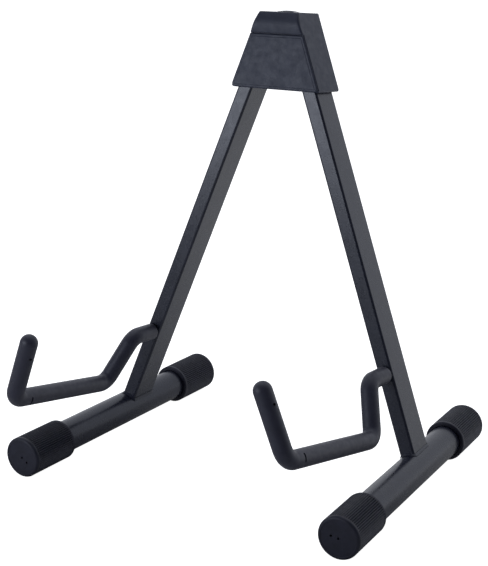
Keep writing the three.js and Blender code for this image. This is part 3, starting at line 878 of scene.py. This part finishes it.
def build_leg(name, side):
    body = f"{name}_leg"
    title = name.title()
    place = leg_frame(name, side)
    low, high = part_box(f"{name}_foot_tube")
    foot_height = (low.z + high.z) / 2
    up, back = place.to_3x3().col[2], place.to_3x3().col[1]
    leg_length = 1000 * (place.translation.z - foot_height) / up.z
    pitch = math.atan2(-back.z, up.z)

    fit(leg_tube(leg_length, pitch, f"{title}_leg_tube"), place, body, "satin_paint", f"{name}_leg_tube")
    weld = foot_weld(leg_length, pitch, f"{title}_foot_weld")
    fit(weld, place, body, "satin_paint", f"{name}_foot_weld", 50)
    fit(arm_weld(f"{title}_arm_weld"), place, body, "satin_paint", f"{name}_arm_weld", 50)
    sleeve = arm_sleeve(f"{title}_arm_sleeve")
    fit(sleeve, place, body, "sleeve_rubber", f"{name}_arm_sleeve")

    foot = foot_frame(place, leg_length, pitch)
    fit(foot_tube(f"{title}_foot_tube"), foot, body, "satin_paint", f"{name}_foot_tube")
    front = foot @ Matrix.Translation((0, -FOOT_FORWARD / 1000, 0))
    rear = foot @ Matrix.Translation((0, FOOT_BACKWARD / 1000, 0)) @ Matrix.Rotation(math.pi, 4, "Z")
    front_cap = foot_cap(FRONT_VENT_TURN[name], f"{title}_front_foot_cap")
    rear_cap = foot_cap(0, f"{title}_rear_foot_cap")
    fit(front_cap, front, body, "cap_rubber", f"{name}_front_foot_cap")
    fit(rear_cap, rear, body, "cap_rubber", f"{name}_rear_foot_cap")


def finish_kept_nodes():
    """The pieces hidden in the head and the sleeves keep their CAD shape."""
    for name in SIDES:
        kept = {
            f"{name}_arm_rod": "satin_paint",
            f"{name}_pivot_bushing": "zinc_steel",
            f"{name}_pivot_front_washer": "nylon",
            f"{name}_pivot_rear_washer": "nylon",
        }
        for node, slot in kept.items():
            frame["nodes"][node].material_slots[0].material = finishes[slot]


# ---------------------------------------------------------------------------
# Floor, light and camera
# ---------------------------------------------------------------------------


def add_sheet(name, height):
    """A matt sheet under the stand, and the nodes and links of its material."""
    shape = bmesh.new()
    for x, y in rectangle(60, 60):
        shape.verts.new((x, y, height))
    shape.faces.new(shape.verts[:])
    sheet = as_object(shape, name)
    material = bpy.data.materials.new(name)
    material.use_nodes = True
    sheet.data.materials.append(material)
    shader = material.node_tree.nodes["Principled BSDF"]
    shader.inputs["Roughness"].default_value = 1.0
    shader.inputs["Specular IOR Level"].default_value = 0.0
    shader.inputs["Emission Color"].default_value = (1, 1, 1, 1)
    return sheet, material.node_tree.nodes, material.node_tree.links


def add_floor():
    """A white sheet for the camera, and one under it that the stand mirrors. The lower sheet's glow grows
    towards the back: painted light, standing in for the backdrop's light on the floor behind the stand.
    """
    white, nodes, _ = add_sheet("Floor", WHITE_FLOOR_HEIGHT)
    nodes["Principled BSDF"].inputs["Emission Strength"].default_value = 1.0
    white.visible_diffuse = False
    white.visible_glossy = False
    white.visible_shadow = False

    mirrored, nodes, links = add_sheet("Floor_mirrored", MIRRORED_FLOOR_HEIGHT)
    mirrored.visible_camera = False
    nodes["Principled BSDF"].inputs["Base Color"].default_value = (0.6, 0.6, 0.6, 1)
    place = nodes.new("ShaderNodeTexCoord")
    parts = nodes.new("ShaderNodeSeparateXYZ")
    # Painted light: emission from nothing at the middle to half strength half a metre behind, standing in for
    # backdrop light on the floor that the stand reflects
    painted_back_glow = nodes.new("ShaderNodeMapRange")
    painted_back_glow.inputs["From Min"].default_value = 0.0
    painted_back_glow.inputs["From Max"].default_value = 0.5
    painted_back_glow.inputs["To Min"].default_value = 0.0
    painted_back_glow.inputs["To Max"].default_value = 0.5
    links.new(place.outputs["Object"], parts.inputs["Vector"])
    links.new(parts.outputs["Y"], painted_back_glow.inputs["Value"])
    links.new(painted_back_glow.outputs["Result"], nodes["Principled BSDF"].inputs["Emission Strength"])


def add_world():
    """A white backdrop behind the stand that fades overhead and leaves the camera's side dark."""
    world = bpy.data.worlds.new("Studio")
    bpy.context.scene.world = world
    world.use_nodes = True
    nodes, links = world.node_tree.nodes, world.node_tree.links
    place = nodes.new("ShaderNodeTexCoord")
    back_and_up = nodes.new("ShaderNodeVectorMath")
    back_and_up.operation = "DOT_PRODUCT"
    back_and_up.inputs[1].default_value = (-0.25, 0.85, 0.25)
    ramp = nodes.new("ShaderNodeValToRGB")
    ramp.color_ramp.elements[0].position = 0.0
    ramp.color_ramp.elements[0].color = (0.08, 0.085, 0.1, 1)
    ramp.color_ramp.elements[1].position = 0.45
    ramp.color_ramp.elements[1].color = (0.9, 0.93, 1.0, 1)
    links.new(place.outputs["Generated"], back_and_up.inputs[0])
    links.new(back_and_up.outputs["Value"], ramp.inputs["Fac"])
    links.new(ramp.outputs["Color"], nodes["Background"].inputs["Color"])
    nodes["Background"].inputs["Strength"].default_value = 0.85


def add_softbox(name, position, aim, size, watts, colour):
    light = bpy.data.lights.new(name, "AREA")
    light.shape = "RECTANGLE"
    light.size, light.size_y = size
    light.energy = watts
    light.color = colour
    lamp = bpy.data.objects.new(name, light)
    bpy.context.scene.collection.objects.link(lamp)
    lamp.location = position
    lamp.rotation_euler = (aim - Vector(position)).to_track_quat("-Z", "Y").to_euler()


def add_lights(aim):
    add_softbox("Front_left", (-0.68, -1.3, 0.48), aim, (1.0, 0.48), 7.5, (0.92, 0.95, 1.0))
    add_softbox("Overhead", (-0.3, 0.2, 2.0), aim, (1.6, 1.6), 4, (0.97, 0.98, 1.0))


def add_camera():
    """The photograph's view: from the front right, a little above."""
    azimuth, elevation = math.radians(CAMERA_AZIMUTH), math.radians(CAMERA_ELEVATION)
    pivots = (pivot("left") + pivot("right")) / 2
    aim = pivots + Vector(CAMERA_AIM)
    away = Vector((math.sin(azimuth) * math.cos(elevation),
                   -math.cos(azimuth) * math.cos(elevation),
                   math.sin(elevation)))
    camera = bpy.data.cameras.new("Camera")
    camera.sensor_width = 36
    camera.lens = CAMERA_LENS
    camera_object = bpy.data.objects.new("Camera", camera)
    bpy.context.scene.collection.objects.link(camera_object)
    camera_object.location = aim + away * CAMERA_DISTANCE
    camera_object.rotation_euler = (-away).to_track_quat("-Z", "Y").to_euler()
    bpy.context.scene.camera = camera_object
    return aim


# ---------------------------------------------------------------------------
# The scene
# ---------------------------------------------------------------------------

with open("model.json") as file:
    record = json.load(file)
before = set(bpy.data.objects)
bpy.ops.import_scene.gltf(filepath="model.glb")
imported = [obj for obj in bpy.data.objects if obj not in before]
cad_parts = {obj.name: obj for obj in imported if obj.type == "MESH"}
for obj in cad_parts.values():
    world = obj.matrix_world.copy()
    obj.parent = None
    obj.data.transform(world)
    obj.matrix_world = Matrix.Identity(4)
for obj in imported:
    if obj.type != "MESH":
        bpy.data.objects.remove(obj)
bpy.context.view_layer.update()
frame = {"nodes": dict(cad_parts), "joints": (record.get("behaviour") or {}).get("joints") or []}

finishes = {make.__name__: make() for make in (
    moulded_plastic, satin_paint, cap_rubber, sleeve_rubber, zinc_steel, black_steel, nylon)}
build_head()
for side_name, side_sign in SIDES.items():
    build_leg(side_name, side_sign)
finish_kept_nodes()

add_floor()
add_world()
add_lights(add_camera())
bpy.context.scene.view_settings.view_transform = "Standard"
